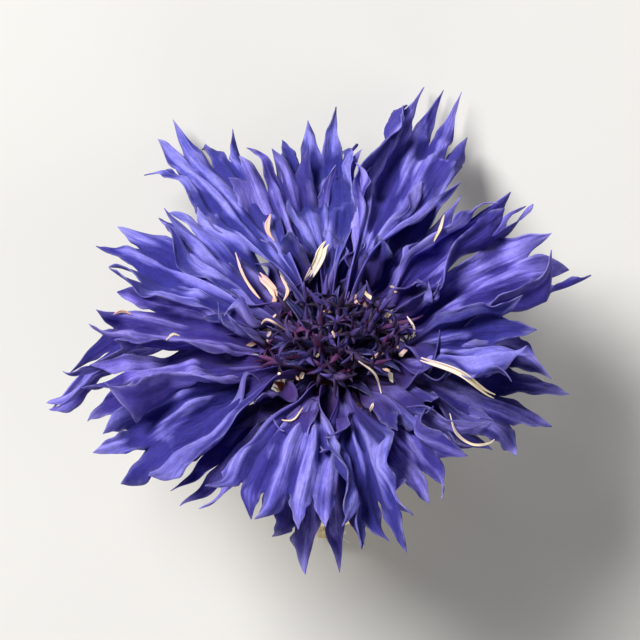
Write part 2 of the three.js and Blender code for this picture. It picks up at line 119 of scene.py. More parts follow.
# Each floret: direction, distance and height of its tip, fan width, lobes, cup, twist, droop, sway,
# and how pale it is, from -1 to 1. On some outer florets this paleness is painted light and shade:
# lower for florets that lie in shadow, higher for florets that face away from the key lamp.
OUTER_FLORETS = [
    (15, 18.4, 13, 6.8, 4, 35, 4, 10, 0, 0.8),
    (34, 17.1, 10, 6.4, 5, 150, -20, 0, 0, 0.8),
    (49, 14.2, 6, 4.6, 4, 80, 15, 10, 0, 0.3),
    (65, 19.1, -1.33, 6.8, 5, 90, 18, 12, 0, 1.0),
    (79, 14, 6.5, 4.4, 4, 140, -30, -25, -0.1, 0.8),
    (93, 16, 2.2, 5.4, 4, 70, -6, 8, 0, 0.2),
    (110, 15.3, 5.5, 5, 5, 100, 12, 0, 0, 0.2),
    (128, 18.9, -0.35, 5.4, 5, 60, -10, 10, 0, 0.7),
    (143, 15.3, 9, 4.4, 4, 80, 20, 5, 0, 0.6),
    (158, 17.3, 10.2, 6.6, 5, 70, 5, 12, 0, 0.6),
    (177, 17.3, 17, 5.6, 4, 120, -15, 5, 0, 0.6),
    (200, 20.5, 11.5, 5, 5, 110, 35, 45, 0.35, 0.3),
    (193, 17.9, 19.5, 6.8, 4, 60, 10, 15, 0, 0.8),
    (211, 18.4, 22, 6, 4, 80, -12, 10, 0, 0.4),
    (231, 15, 20.5, 5.2, 5, 90, 10, 20, 0, 0.2),
    (251, 14, 24.5, 7, 5, 30, 8, 35, 0, 0.6),
    (267, 15.6, 18.5, 5.8, 4, 50, -8, 35, 0, -0.8),
    (283, 14.8, 26, 5.6, 5, 100, -25, 10, 0, 0.2),
    (304, 13.5, 21.5, 5.4, 4, 80, 10, 25, 0, 0.0),
    (324, 13.5, 17.5, 5.6, 5, 60, -10, 25, 0, -0.5),
    (341, 16.6, 15.5, 7.2, 4, 40, 10, 25, 0, -0.9),
    (356, 14.6, 18.5, 6.8, 5, 50, -6, 15, 0, 0.4),
]
INNER_FLORETS = [
    (25, 9, 14.5, 3.8, 4, 120, 20, 0, 0, 0.1),
    (62, 8.5, 10.5, 3.6, 3, 140, -15, 0, 0, -0.3),
    (101, 8, 10, 4, 4, 110, 10, 0, 0, -0.5),
    (140, 8.5, 12, 3.8, 3, 120, -20, 0, 0, -0.4),
    (172, 9, 16.5, 3.6, 4, 150, 15, 5, 0.1, 0.0),
    (200, 10, 17.5, 4.2, 4, 70, 12, 10, 0, -0.2),
    (225, 8.4, 19.5, 3.8, 3, 100, -10, 10, 0, -0.4),
    (263, 8.6, 21.5, 4.2, 4, 90, 15, 15, 0, 0.0),
    (320, 8.8, 20, 4.4, 4, 80, -15, 15, 0, -0.3),
    (348, 9, 17.8, 3.8, 3, 120, 10, 5, -0.1, -0.2),
]
SEED = 7
SPINE_STEPS = 60
REACH_ROUNDS = 12
# What the fitting of a floret's length and direction starts from
FIRST_LENGTH = 20.0
FIRST_SPREAD = 10.0

DISC_CORE_RADIUS = 0.95
DISC_CORE_TOP = 16.5
DISC_COUNT = 24
DISC_LENGTH = 5.0
DISC_CONE = math.radians(46)
DISC_ROOT_RADIUS = 0.55
DISC_SUNK = 0.5

STEM_RADIUS = 0.95
STEM_LYING = 1.4

# How thick each thin sheet is, in mm
PETAL_THICKNESS = 0.075
DISC_LOBE_THICKNESS = 0.07
STYLE_THICKNESS = 0.07
FLAKE_THICKNESS = 0.03
SCALE_THICKNESS = 0.12
CROWN_THICKNESS = 0.1

# The head's axis leans; the stem node shows how far the whole was shifted to stand on its origin.
STEM_LOW, STEM_HIGH = (np.array(c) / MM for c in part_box("stem"))
BEND_Y = -math.tan(LEAN) * (FOOT_LIFT - STEM_RADIUS)
SEAT = np.array([(STEM_LOW[0] + STEM_HIGH[0]) / 2, STEM_LOW[1] - (BEND_Y - STEM_LYING), STEM_LOW[2]])
HEAD_TURN = np.array([[1, 0, 0], [0, LEAN_COS, LEAN_SIN], [0, -LEAN_SIN, LEAN_COS]])
UP = np.array([0.0, 0.0, 1.0])
BLOOM_X = SEAT[0]
BLOOM_Y = SEAT[1] + BLOOM_MIDDLE * LEAN_SIN


def from_head(points):
    """Points on the upright head, put where the leaning head has them."""
    return np.asarray(points) @ HEAD_TURN.T + [0, 0, FOOT_LIFT] + SEAT


PAST_BOX = 0.3  # how much of a lobe tip's reach past the solids' box stays


def drawn_in(points):
    """Petal points, with the tips that crumpling pushed past the solids' box drawn in."""
    inside = np.clip(points, np.array(CAD_LOW) / MM, np.array(CAD_HIGH) / MM)
    return inside + PAST_BOX * (points - inside)


RANDOM_FACTOR = 1664525
RANDOM_STEP = 1013904223
RANDOM_RANGE = 2**32


def random_from(seed):
    """Repeatable random numbers from 0 to 1, drawn as for the solids."""
    state = seed

    def draw():
        nonlocal state
        state = (state * RANDOM_FACTOR + RANDOM_STEP) % RANDOM_RANGE
        return state / RANDOM_RANGE

    return draw


def smooth(x):
    t = np.clip(x, 0, 1)
    return t * t * (3 - 2 * t)


def mix(a, b, t):
    return a + (b - a) * t


def stage(s, limits):
    """How far a change has got at shares s. Limits are where it starts and how long it takes."""
    start, span = limits
    return smooth((s - start) / span)


def unit(v):
    return v / np.linalg.norm(v, axis=-1, keepdims=True)


def triples(a, b, c):
    """Threes of values, each spread over the shape that all three share."""
    return np.stack(np.broadcast_arrays(a, b, c), -1)


def around_axis(r, angle, z):
    return triples(r * np.cos(angle), r * np.sin(angle), z)


def full_turn(sides):
    return np.linspace(0, CIRCLE, sides, endpoint=False)


def shares(count):
    """Shares from 0 to 1, one in each row."""
    return np.linspace(0, 1, count)[:, None]


def rolled(side, face, angle):
    """Two directions at right angles, turned together."""
    return side * np.cos(angle) + face * np.sin(angle), face * np.cos(angle) - side * np.sin(angle)


def rings(side, other, turn):
    """At each point of a path, the ways out of it at angles from one side towards the other."""
    return side[:, None] * np.cos(turn)[:, None] + other[:, None] * np.sin(turn)[:, None]


# Building one piece


def put_in_scene(thing):
    bpy.context.scene.collection.objects.link(thing)


class Skin:
    """Points, faces and surface values of one piece. Points are in millimetres."""

    def __init__(self):
        self.points, self.petal, self.tint, self.faces = [], [], [], []
        self.count = 0

    def add(self, points, petal, tint):
        """Adds points and returns their numbers, in the same rows and columns."""
        shape = points.shape[:-1]
        n = int(np.prod(shape))
        self.points.append(points.reshape(n, 3))
        self.petal.append(np.broadcast_to(petal, (*shape, 3)).reshape(n, 3))
        self.tint.append(np.broadcast_to(tint, (*shape, 3)).reshape(n, 3))
        index = np.arange(self.count, self.count + n).reshape(shape)
        self.count += n
        return index

    def quads(self, index, wrap=False):
        if wrap:
            index = np.concatenate([index, index[:, :1]], axis=1)
        a, b, c, d = index[:-1, :-1], index[:-1, 1:], index[1:, 1:], index[1:, :-1]
        self.faces.extend(np.stack([a, b, c, d], axis=-1).reshape(-1, 4).tolist())

    def cap(self, ring):
        self.faces.append([int(i) for i in ring])

    def build(self, name, material, slot, thickness=0.0, replaces=None, rounded=True):
        mesh = bpy.data.meshes.new(name)
        points = np.concatenate(self.points)
        points[:, 2] = np.maximum(points[:, 2], FLOOR_CLEAR + thickness / 2)
        mesh.from_pydata((points * MM).tolist(), [], self.faces)
        for label, values in (("petal", self.petal), ("tint", self.tint)):
            held = mesh.attributes.new(label, "FLOAT_VECTOR", "POINT")
            held.data.foreach_set("vector", np.concatenate(values).astype(np.float32).ravel())
        mesh.polygons.foreach_set("use_smooth", [rounded] * len(mesh.polygons))
        mesh.materials.append(material)
        mesh.update()
        piece = bpy.data.objects.new(name, mesh)
        put_in_scene(piece)
        if thickness:
            solid = piece.modifiers.new("thickness", "SOLIDIFY")
            solid.thickness = thickness * MM
            solid.offset = 0
        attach(piece, "root")
        if replaces:
            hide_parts(replaces)


def strip(skin, path, widths, sideways, petal, tint):
    """A thin tapering ribbon along a path."""
    half = (widths / 2)[:, None] * sideways
    rows = np.stack([path - half, path + half], axis=1)
    skin.quads(skin.add(rows, petal, tint))


# Directions that no tube and no disc floret runs in, crossed with its own to find its side
OFF_TUBE = [0.31, 0.17, 0.94]
OFF_FLORET = [0.3, 0.2, 1.0]


def tube(skin, path, radii, sides, petal, tint):
    """A round tapering tube along a path, closed at its far end."""
    along = unit(np.gradient(path, axis=0))
    side = unit(np.cross(along, OFF_TUBE))
    ring = rings(side, np.cross(along, side), full_turn(sides))
    index = skin.add(path[:, None] + ring * radii[:, None, None], petal, tint)
    skin.quads(index, wrap=True)
    skin.cap(index[-1])


# Ray florets


def spine_of(floret):
    """The middle line in the plane of the floret's azimuth: radius, height and slope."""
    rows = []
    r, z = floret.root_radius, floret.root_height
    for i in range(SPINE_STEPS + 1):
        s = i / SPINE_STEPS
        turned = float(smooth((s - TURN_START) / TURN_SPAN))
        tail = max(0.0, (s - DROOP_START) / (1 - DROOP_START))
        slope = math.radians(mix(floret.rise, floret.spread, turned) - floret.droop * tail**2)
        rows.append((r, z, slope))
        r += math.cos(slope) * floret.length / SPINE_STEPS
        z += math.sin(slope) * floret.length / SPINE_STEPS
    return np.array(rows)


def reach_for(floret, radius, height):
    """Bends and lengthens a floret until its middle line ends at the wanted radius and height."""
    want = (radius - floret.root_radius, height - floret.root_height)
    for _ in range(REACH_ROUNDS):
        end = spine_of(floret)[-1]
        have = (end[0] - floret.root_radius, end[1] - floret.root_height)
        turn = math.atan2(want[1], want[0]) - math.atan2(have[1], have[0])
        floret.spread += math.degrees(turn)
        floret.length *= math.hypot(*want) / math.hypot(*have)


def ray_florets():
    draw = random_from(SEED)

    def about(middle, spread):
        return middle + spread * (2 * draw() - 1)

    def grow(row, ring):
        toward, reach, tip, fan, lobes, cup, twist, droop, sway, tone = row
        angle = math.radians(toward)
        x = reach * math.cos(angle)
        y = reach * math.sin(angle) + BLOOM_MIDDLE * LEAN_SIN
        x, y, z = HEAD_TURN.T @ [x, y, tip - FOOT_LIFT]
        root_radius, root_height, rise = ring
        floret = SimpleNamespace(
            root_radius=root_radius,
            root_height=root_height,
            rise=rise,
            azimuth=math.atan2(y, x) - sway,
            length=FIRST_LENGTH,
            spread=FIRST_SPREAD,
            droop=droop,
            fan=fan,
            cup=math.radians(cup),
            twist=math.radians(twist),
            sway=sway,
            tone=tone,
            lobes=[(about(*LOBE_LENGTH), about(*LOBE_CURL), about(*LOBE_CUT)) for _ in range(lobes)],
        )
        reach_for(floret, math.hypot(x, y), z)
        floret.spine = spine_of(floret)
        return floret

    outer = [grow(row, ROOT_RINGS[i % 2]) for i, row in enumerate(OUTER_FLORETS)]
    inner = [grow(row, ROOT_RINGS[2]) for row in INNER_FLORETS]
    return outer, inner


def spine_frame(floret, s):
    """Points of the middle line at shares s, and the directions across it and out of its face."""
    steps = np.arange(SPINE_STEPS + 1)
    x = np.clip(s, 0, 1) * SPINE_STEPS
    r, z, slope = (np.interp(x, steps, floret.spine[:, k])[..., None] for k in range(3))
    azimuth = floret.azimuth + floret.sway * s * s
    out = around_axis(1, azimuth, 0)
    across = triples(-np.sin(azimuth), np.cos(azimuth), 0)
    face = UP * np.cos(slope) - out * np.sin(slope)
    twist = (floret.twist * smooth((s - FAN_START) / (1 - FAN_START)))[..., None]
    return out * r + UP * z, *rolled(across, face, twist)


def fan_width(floret, s):
    opened = smooth((s - FAN_START) / (FAN_FULL - FAN_START))
    beyond = np.maximum(0, (s - FAN_FULL) / (1 - FAN_FULL))
    return mix(FAN_NECK, floret.fan, opened) * (1 + FAN_SPLAY * beyond)


TUBE_GIRTH = 2.5
TUBE_CUP = 5.7
ROUND_STEPS = (np.arange(14) + 0.5) / 14  # where the way round the cup is sampled
# Where along a floret it widens, unrolls, folds, wrinkles and pleats: a start and a span
WIDENING = (0.16, 0.24)
UNROLLING = (0.18, 0.26)
FOLDING = (0.36, 0.26)
WRINKLING = (0.24, 0.3)
PLEATING = (0.3, 0.2)


def sheet_width(floret, s):
    """Width round the cup: the tube's girth near the root, the fan's width further out."""
    return mix(TUBE_GIRTH, fan_width(floret, s), stage(s, WIDENING))


def fan_point(floret, s, a, lift):
    """Points of the cupped and folded sheet at distance a from its middle line."""
    at, across, face = spine_frame(floret, s)
    width = sheet_width(floret, s)
    cup = mix(NECK_CUP, floret.cup, smooth((s - FAN_START) / (FAN_FULL - FAN_START)))
    opened = stage(s, UNROLLING)
    bend = mix(TUBE_CUP, cup, opened) / width
    grown = stage(s, FOLDING)

    def turned(a, bend, width, grown):
        angle = a * bend
        for place, size, sharp in floret.folds:
            edge = np.tanh((2 * a / width - place) / sharp) + math.tanh(place / sharp)
            angle = angle + grown * size * edge
        return angle

    way = turned(a[..., None] * ROUND_STEPS, bend[..., None], width[..., None], grown[..., None])
    angle = turned(a, bend, width, grown)[..., None]
    at = at + across * (a * np.cos(way).mean(axis=-1))[..., None]
    at = at + face * (a * np.sin(way).mean(axis=-1) - (1 - opened) / bend)[..., None]
    return at + rolled(across, face, angle)[1] * lift[..., None]


# Wrinkles: how wide and how long each layer of creases is, and how deep, in mm
CREASE_LAYERS = [(1.7, 7.5, 0.24), (0.8, 4.2, 0.15), (0.38, 2.2, 0.085), (2.0, 2.3, 0.17)]
CREASE_REACH = 6.0
CREASE_LENGTH = 32
CREASE_SHARPNESS = 2.8


def crease_grids(draw):
    grids = []
    for across, along, size in CREASE_LAYERS:
        rows, columns = int(2 * CREASE_REACH / across) + 3, int(CREASE_LENGTH / along) + 3
        grid = np.array([[2 * draw() - 1 for _ in range(columns)] for _ in range(rows)])
        grids.append((grid, across, along, size))
    return grids


def smooth_noise(grid, u, v):
    i = np.clip(np.floor(u).astype(int), 0, grid.shape[0] - 2)
    j = np.clip(np.floor(v).astype(int), 0, grid.shape[1] - 2)
    p, q = smooth(u - i), smooth(v - j)
    return mix(mix(grid[i, j], grid[i + 1, j], p), mix(grid[i, j + 1], grid[i + 1, j + 1], p), q)


def creases(grids, a, y):
    """Height of the sharp lengthwise wrinkles, in mm."""
    total = 0
    for grid, across, along, size in grids:
        noise = smooth_noise(grid, (a + CREASE_REACH) / across, y / along)
        total = total + size * (1 - CREASE_SHARPNESS * np.abs(noise))
    return total


# Limits of what is drawn for each floret: where its two folds lie, how far they turn and how wide
# they are, then the size, pitch and slant of its waves, and how deep its pleats are
FOLD_PLACE = (0.15, 0.8)
FOLD_TURN = (-0.3, 0.45)
FOLD_WIDTH = (0.05, 0.16)
WAVE_COUNT = 4
WAVE_SIZE = (0.05, 0.21)
WAVE_PITCH = (6, 26)
WAVE_SLANT = (-1.6, 1.6)
PLEAT_DEPTH = (0.1, 0.2)
TONE_DRIFT = 0.3
# For each lobe: how blunt it is, how ragged and in how many nicks, how it rolls, folds along its
# middle, hooks at its tip and leans aside
BLUNT = (1.25, 2.7)
RAGGED = (0.05, 0.16)
NICKS = (8, 17)
ROLL = (-1.4, 1.4)
LOBE_FOLD = (0.15, 0.8)
HOOK = (-1.5, 1.8)
LEAN_ASIDE = (-0.7, 0.7)
LEAST_WIDTH = 0.012
TUBE_START = 0.02  # share of the length at which the open tube begins


def floret_sheet(skin, floret, draw, columns, body_rows, lobe_rows, wild):
    """One floret: a rolled tube that opens into a crumpled fan cut into pointed lobes."""
    lobes = len(floret.lobes)
    length = floret.length
    floret.folds = [
        (side * mix(*FOLD_PLACE, draw()), wild * mix(*FOLD_TURN, draw()), mix(*FOLD_WIDTH, draw()))
        for side in (-1, 1)
    ]
    waves = [
        (wild * mix(*WAVE_SIZE, draw()), mix(*WAVE_PITCH, draw()), mix(*WAVE_SLANT, draw()), 6.3 * draw())
        for _ in range(WAVE_COUNT)
    ]
    grids = crease_grids(draw)
    pleat = mix(*PLEAT_DEPTH, draw())
    own = 10 * draw()
    tone = floret.tone + TONE_DRIFT * (draw() - 0.5)

    def relief(s, a, share):
        grown = stage(s, WRINKLING)
        sharp = creases(grids, share * floret.fan / 2, s * length)
        pleated = -pleat * np.cos(math.pi * lobes * (share + 1)) * stage(s, PLEATING)
        sharp = sharp + 0.8 * pleated
        total = grown * sharp + 0.4 * pleated
        for size, f, g, start in waves:
            total = total + size * grown * (0.3 + np.abs(share)) * np.sin(f * s + g * a + start)
        # The second value, the crease height, sets the petals' painted shade in valleys and painted
        # highlight on crests
        return total, sharp / 0.36

    def laid(s, a, lift, share, rim, sharp):
        petal = triples(share * lobes, s * length, own)
        return skin.add(fan_point(floret, s, a, lift), petal, triples(rim, tone, sharp))

    share = np.linspace(-1, 1, lobes * columns + 1)
    cuts = [0] + [cut for _, _, cut in floret.lobes[1:]] + [0]
    cuts = np.interp(share, np.linspace(-1, 1, lobes + 1), cuts)
    arch = SINUS + SINUS_ARCH * (1 - share**2) + cuts
    s = mix(TUBE_START, arch[None, :], shares(body_rows))
    a = share[None, :] * sheet_width(floret, s) / 2
    lift, sharp = relief(s, a, share[None, :])
    rim = np.abs(share[None, :]) ** 10 * smooth((s - 0.35) / 0.2)
    body = laid(s, a, lift, share[None, :], rim, sharp)
    skin.quads(body)

    for j, (reach, curl, _) in enumerate(floret.lobes):
        centre = (2 * j + 1) / lobes - 1
        held = slice(j * columns, (j + 1) * columns + 1)
        q = np.linspace(-1, 1, columns + 1)[None, :]
        t = shares(lobe_rows + 1)[1:] ** 0.9
        start = arch[held][None, :]
        parting = (start[0, 0] + start[0, -1]) / 2
        tip_at = mix(parting, 1 - TIP_ARCH * centre**2, reach)
        s = mix(start, tip_at, t)
        blunt = mix(*BLUNT, draw())
        ragged = mix(*RAGGED, draw()) * np.sin(mix(*NICKS, draw()) * t + 6 * draw() + np.sign(q) * 1.1)
        profile = np.maximum((1 - t**blunt) * (1 + np.abs(q) * ragged), LEAST_WIDTH)
        half = sheet_width(floret, start) / 2 / lobes * profile
        turn = mix(*ROLL, draw()) * t**1.3
        fold = mix(*LOBE_FOLD, draw()) * np.sign(draw() - 0.35)
        hook = mix(*HOOK, draw())
        aside = mix(*LEAN_ASIDE, draw()) * t**2
        side = q * half
        a = centre * sheet_width(floret, s) / 2 + side * np.cos(turn) + aside
        spread = centre + q / lobes * profile
        lift, sharp = relief(s, a, spread)
        lift = lift * (1 - 0.4 * t) + curl * t**2 + hook * t**3
        lift = lift + side * np.sin(turn) + fold * np.abs(q) ** 1.6 * half * np.minimum(1, 3 * t)
        rim = np.maximum(np.abs(q) ** 4 * smooth(t / 0.3), smooth((t - 0.55) / 0.45))
        new = laid(s, a, lift, spread, rim, sharp)
        skin.quads(np.concatenate([body[-1:, held], new], axis=0))


SHRED_COUNT = 44
SHRED_TURN = 2.4  # radians from each to the next
SHRED_STEPS = 22
SHRED_HEIGHT = 15.2
SHRED_RISE = (22, 60)
SHRED_LENGTH = (2.6, 5.8)
SHRED_WIDTH = (0.45, 1.3)
SHRED_ROOT = (1.5, 2.7)
CURL_POINTS = 7  # across a shred or a style


def shreds(skin, draw):
    """Narrow curled strips in and round the tuft."""
    for k in range(SHRED_COUNT):
        azimuth = SHRED_TURN * k + 0.5 * draw()
        near = k % 2
        rise = math.radians(mix(*SHRED_RISE, draw()) + 14 * near)
        length = (mix(*SHRED_LENGTH, draw()) - 0.4 * near) * (1 - 0.4 * max(0.0, -math.sin(azimuth)))
        t = shares(SHRED_STEPS)
        slope = rise - mix(0.2, 1.6, draw()) * t**1.5
        swing = azimuth + mix(-0.5, 0.5, draw()) * t**2
        step = length / (SHRED_STEPS - 1)
        out = around_axis(np.cos(slope), swing, np.sin(slope))[:, 0]
        root_radius = mix(*SHRED_ROOT, draw()) - 1.2 * near
        root = around_axis(root_radius, azimuth, SHRED_HEIGHT + 1.3 * near)
        path = root + np.cumsum(out, axis=0) * step
        side = unit(np.cross(UP, out))
        roll = mix(-1.3, 1.3, draw()) + mix(-1.2, 1.2, draw()) * t
        side, face = rolled(side, np.cross(out, side), roll)
        width = mix(*SHRED_WIDTH, draw()) * smooth((t + 0.25) / 0.6) * (1 - t**2.2) + 0.02
        q = np.linspace(-1, 1, CURL_POINTS)[None, :, None]
        cup = mix(0.2, 0.8, draw())
        raised = cup * np.abs(q) ** 1.5 * width[:, None] / 2
        rows = path[:, None] + side[:, None] * (q * width[:, None] / 2) + face[:, None] * raised
        own = 10 * draw()
        a = q[..., 0]
        petal = triples(4 * a, 6 + 12 * t, own)
        rim = np.maximum(np.abs(a) ** 4, smooth((t - 0.6) / 0.4))
        # the third value drives the petals' painted crease shade, darkest towards the strip's edges
        tint = triples(rim, 1.4 * draw() - 1.1, 0.5 - 1.2 * np.abs(a))
        skin.quads(skin.add(rows, petal, tint))


# Bracts of the barrel and of the crown

# How many fringe teeth a bract has on each side, and how long they are, in mm
BRACT_FRINGE = (13, 0.75)
CROWN_FRINGE = (8, 0.9)
TOOTH_WIDTH = 0.04
BRACT_POINTS = (15, 9)  # along and across
KEEL = 0.1
BARREL_RINGS = 30
BARREL_SIDES = 56
STAND_SHARE = (0.55, 0.85)  # how much of its stand a scale keeps


def barrel_radius(z):
    t = z / BARREL_HEIGHT - BELLY
    half = np.where(t < 0, LOWER_HALF, UPPER_HALF)
    return BARREL_RADIUS * np.sqrt(np.maximum(0, 1 - (t / half) ** 2))


def bract_half(along):
    """Half width of a bract as a share, along its length."""
    return mix(0.9, 1.0, smooth(along / 0.5)) * (1 - np.clip((along - 0.5) / 0.5, 0, 1) ** 1.9)


def bract_sheet(skin, place, draw, fringe, width, tone):
    """A keeled bract and its fringe. Place finds a point from shares across and along and a lift."""
    teeth, tooth_size = fringe
    along = shares(BRACT_POINTS[0])
    q = np.linspace(-1, 1, BRACT_POINTS[1])[None, :]
    across = q * np.maximum(bract_half(along), 0.02)
    own = 10 * draw()
    points = place(across, along, KEEL * (1 - np.abs(q)) * smooth(along / 0.3))
    rim = np.maximum(np.abs(q) ** 5, smooth((along - 0.8) / 0.2)) * smooth((along - 0.15) / 0.3)
    skin.quads(skin.add(points, triples(q, along, own), triples(rim, tone, 2 * draw() - 1)))
    for side in (-1, 1):
        for k in range(teeth):
            at = 0.3 + 0.68 * (k + 0.6 * draw()) / teeth
            long = tooth_size * mix(0.7, 1.25, draw())
            spread = mix(0.35, 0.8, draw()) * mix(1, 0.5, at)
            wide = TOOTH_WIDTH / width
            lift = mix(0.02, 0.22, draw())
            t = shares(3)
            along = at + t * long * 0.24 + np.array([-0.014, 0.014]) * (1 - 0.85 * t)
            across = side * bract_half(at) + side * (t * long * spread * 2 / width - 0.04)
            across = across + np.array([-wide, wide]) * (1 - 0.8 * t) * side
            rows = place(across, along, lift * t**2)
            skin.quads(skin.add(rows, (0.9, at, own), (1, tone, 0.5)))


def barrel_and_bracts(skin, scales):
    draw = random_from(SEED + 20)
    z = np.linspace(0, BARREL_HEIGHT, BARREL_RINGS)[:, None]
    turn = full_turn(BARREL_SIDES)
    rows = around_axis(np.maximum(barrel_radius(z), 0.05), turn, z)
    index = skin.add(from_head(rows), triples(turn, z, 0), (0, -1, 0))
    skin.quads(index, wrap=True)
    skin.cap(index[0][::-1])
    skin.cap(index[-1])
    for k, (count, tip, length, width, stand) in enumerate(BRACT_ROWS):
        for i in range(count):
            azimuth = (i + (k % 2) / 2) / count * CIRCLE + 0.06 * (draw() - 0.5)
            lean = 0.25 * (draw() - 0.5)
            own_stand = stand * mix(*STAND_SHARE, draw())

            def place(across, along, lift):
                z = tip - length * (1 - along)
                wall = barrel_radius(np.minimum(z, BARREL_HEIGHT))
                out = mix(-BRACT_SUNK, own_stand, smooth(along)) - 0.1
                out = out - 0.16 * across**2 * smooth(along / 0.4)
                angle = azimuth + (across * width + lean * along) / 2 / (wall + BLADE)
                return from_head(around_axis(wall + out + lift, angle, z))

            bract_sheet(scales, place, draw, BRACT_FRINGE, width, mix(-0.4, 1, draw()))


def crown(skin):
    draw = random_from(SEED + 2)
    bristle = random_from(SEED + 30)
    r = np.array([0.4, CROWN_RADIUS - 0.1])[:, None]
    turn = full_turn(40)
    rows = from_head(around_axis(r, turn, CROWN_BASE + CROWN_DISC))
    skin.quads(skin.add(rows, (0, 0.2, 0), (0, -1, 0)), wrap=True)
    for i in range(CROWN_COUNT):
        azimuth = i / CROWN_COUNT * CIRCLE
        tip = CROWN_TIP - CROWN_RAGGED * draw()
        flare = CROWN_FLARE * (0.6 + 0.8 * draw())
        for extra in (0, 1):
            turned = azimuth + extra * math.pi / CROWN_COUNT
            narrow = 0.62 if extra else 1.0
            inset = 0.35 * extra

            def place(across, along, lift):
                z = mix(CROWN_BASE - 0.2, tip - 0.5 * extra, along)
                r = CROWN_RADIUS - BLADE / 4 + flare * along**2 - inset + lift
                angle = turned + across * CROWN_WIDTH * narrow * (1 - CROWN_TAPER * along) / 2 / r
                return from_head(around_axis(r, angle, z))

            bract_sheet(skin, place, bristle, CROWN_FRINGE, CROWN_WIDTH * narrow, 2 * bristle() - 1)


# Disc florets, anthers and styles


TUBE_POINTS = 18
TUBE_SIDES = 7
THROAT = 11  # the point of a tube at which its lobes part
TUBE_LOBES = 5
LOBE_POINTS = 9
DISC_GIRTH = 0.17
TUFT_GIRTH = 0.13


def disc_floret(tubes, petals, root, way, length, girth, wild, draw):
    """A thin crooked tube with five narrow curled lobes at its throat and a dark tip beyond them."""
    t = np.linspace(0, 1, TUBE_POINTS)
    side = unit(np.cross(way, OFF_FLORET))
    other = np.cross(way, side)
    turns, start = mix(2.0, 5.5, draw()), 6.3 * draw()
    swing = wild * t**1.4
    path = root + way * (length * t)[:, None]
    path = path + side * (swing * np.sin(turns * t + start))[:, None]
    path = path + other * (swing * np.cos(turns * t + 1.7 * start))[:, None]
    radii = girth * (0.8 + 0.5 * smooth((t - 0.5) / 0.15)) * (1 - smooth((t - 0.75) / 0.27)) + 0.03
    own = 10 * draw()
    petal = triples(0, t * length, own)[:, None]
    tint = triples(smooth((t - 0.5) / 0.2), 2 * draw() - 1, 0)[:, None]
    tube(tubes, from_head(path), radii, TUBE_SIDES, petal, tint)
    ahead = unit(path[THROAT + 1] - path[THROAT - 1])
    for lobe in range(TUBE_LOBES):
        around = (lobe + 0.5 * draw()) / TUBE_LOBES * CIRCLE
        outward = side * math.cos(around) + other * math.sin(around)
        long = mix(0.9, 1.9, draw())
        u = shares(LOBE_POINTS)
        bend = mix(0.3, 2.4, draw()) * u**1.3 + 0.35
        line = np.cumsum(ahead * np.cos(bend) + outward * np.sin(bend), axis=0) * long / LOBE_POINTS
        line = path[THROAT] + line + np.cross(ahead, outward) * mix(-0.4, 0.4, draw()) * u**2
        flat = np.cross(outward, ahead) + outward * mix(-0.6, 0.6, draw())
        wide = mix(0.26, 0.42, draw()) * (1 - u[:, 0] ** 2.5) + 0.03
        shade = triples(u, 2 * draw() - 1, draw())
        strip(petals, from_head(line), wide, flat @ HEAD_TURN.T, (0.5, 3, own + lobe), shade)


TUFT_EXTRA = 26
DOME_HEIGHT = 1.9


def disc_tuft(tubes, petals):
    draw = random_from(SEED + 1)
    other = random_from(SEED + 40)
    golden = math.pi * (3 - math.sqrt(5))
    turn = full_turn(24)
    dome = np.linspace(0, math.pi / 2, 7)[:, None]
    z = DISC_CORE_TOP - DOME_HEIGHT + DOME_HEIGHT * np.sin(dome)
    rows = around_axis(DISC_CORE_RADIUS * np.cos(dome), turn, z)
    tubes.quads(tubes.add(from_head(rows), 0, 0), wrap=True)

    def way(lean, azimuth):
        return around_axis(math.sin(lean), azimuth, math.cos(lean))

    for i in range(DISC_COUNT):
        share = math.sqrt((i + 0.3) / DISC_COUNT)
        length = DISC_LENGTH * (0.85 + 0.3 * draw())
        azimuth = i * golden
        root = around_axis(DISC_ROOT_RADIUS * share, azimuth, DISC_CORE_TOP - DISC_SUNK)
        wild = mix(0.2, 1.1, other())
        disc_floret(tubes, petals, root, way(DISC_CONE * share, azimuth), length, DISC_GIRTH, wild, other)
    for i in range(TUFT_EXTRA):
        azimuth = CIRCLE * (i + other()) / TUFT_EXTRA
        azimuth -= 0.45 * math.sin(2 * azimuth)
        lean = math.radians(mix(35, 80, other()))
        length = mix(3.2, 6.6, other()) * (0.6 + 0.4 * abs(math.cos(azimuth)))
        root = around_axis(mix(0.5, 1.6, other()), azimuth, mix(15.4, 16.2, other()))
        wild = mix(0.2, 1.0, other())
        disc_floret(tubes, petals, root, way(lean, azimuth), length, TUFT_GIRTH, wild, other)


class Ground:
    """What lies under a point, seen from straight above. Millimetres."""

    def __init__(self, skins):
        points, faces, count = [], [], 0
        for skin in skins:
            points.append(np.concatenate(skin.points))
            faces.extend([[i + count for i in face] for face in skin.faces])
            count += skin.count
        self.tree = BVHTree.FromPolygons(np.concatenate(points).tolist(), faces)

    def height(self, x, y):
        hit = self.tree.ray_cast(Vector((x, y, RAY_TOP)), Vector((0, 0, -1)))[0]
        return hit.z if hit else 0.0


